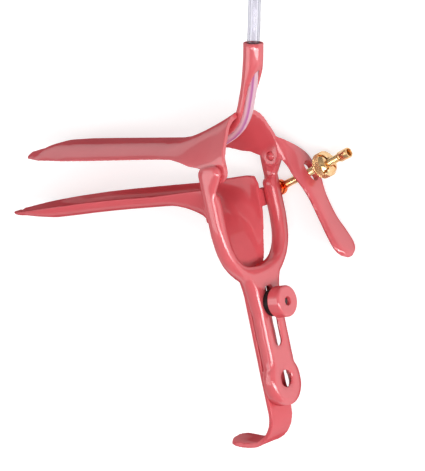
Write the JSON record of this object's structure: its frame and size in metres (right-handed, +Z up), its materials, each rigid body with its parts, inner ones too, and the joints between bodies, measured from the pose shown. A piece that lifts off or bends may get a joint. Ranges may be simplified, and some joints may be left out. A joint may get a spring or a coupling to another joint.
{
  "type": "vaginal speculum",
  "caption": "Two-bladed vaginal speculum with an insulating coat, a fork frame, a thumb lever with adjusting screw, and a smoke sleeve with clear tubing.",
  "frame": {"origin": "centre of the underside of the instrument's bounding box, measured without the hose and its coil, with the instrument lying on its lever side", "axes": "+X along the blades towards the user, +Y up the stem towards the smoke sleeve, +Z up from the floor, away from the lever"},
  "size_m": [0.1798, 0.3238, 0.0517],
  "materials": {
    "coral_coat": "gloss pink nylon coat on steel sheet",
    "gold_metal": "polished",
    "black_washer": "satin black",
    "steel_stud": "turned",
    "clear_tube": "clear soft tubing",
    "pale_blue_plastic": "moulded"
  },
  "bodies": {
    "base": {"lower_blade": "coral_coat", "clamp_stud": "steel_stud", "knob_washer": "black_washer"},
    "knob": {"clamp_knob": "coral_coat"},
    "frame": {"yoke_frame": "coral_coat", "rod_pivot_screw": "gold_metal", "rod_pivot_washer": "gold_metal"},
    "rod": {"adjusting_rod": "gold_metal", "rod_end_cap": "gold_metal"},
    "nut": {"adjusting_nut": "gold_metal", "nut_washer": "gold_metal"},
    "upper": {"upper_blade": "coral_coat", "smoke_channel": "coral_coat", "smoke_tube": "clear_tube", "smoke_hose": "clear_tube", "hose_coil": "clear_tube", "coil_tie": "pale_blue_plastic", "hose_connector": "pale_blue_plastic"}
  },
  "joints": [
    {"name": "frame_slide", "type": "slide", "parent": "base", "child": "frame", "axis": [-0.0053, 0.9991, 0.0423], "range_m": [-0.0055, 0.016]},
    {"name": "blade_tilt", "type": "hinge", "parent": "frame", "child": "upper", "pos_m": [0.04351, 0.03374, 0.02917], "axis": [0.123, 0.0426, -0.9915], "range_deg": [-4.5, 22]},
    {"name": "rod_tilt", "type": "hinge", "parent": "frame", "child": "rod", "pos_m": [0.04196, 0.02064, 0.0027], "axis": [0.123, 0.0426, -0.9915], "range_deg": [-2.5, 11]},
    {"name": "nut_travel", "type": "slide", "parent": "rod", "child": "nut", "axis": [0.9586, 0.2535, 0.1298], "range_m": [-0.0055, 0.0015]},
    {"name": "knob_turn", "type": "hinge", "parent": "base", "child": "knob", "pos_m": [0.04382, -0.02431, 0.02672], "axis": [0.9924, 0, 0.1231], "range_deg": [0, 540]}
  ],
  "couplings": [
    {"joint": "rod_tilt", "follows": "blade_tilt", "ratio": 0.476},
    {"joint": "nut_travel", "follows": "blade_tilt", "m_per_rad": -0.0127}
  ]
}
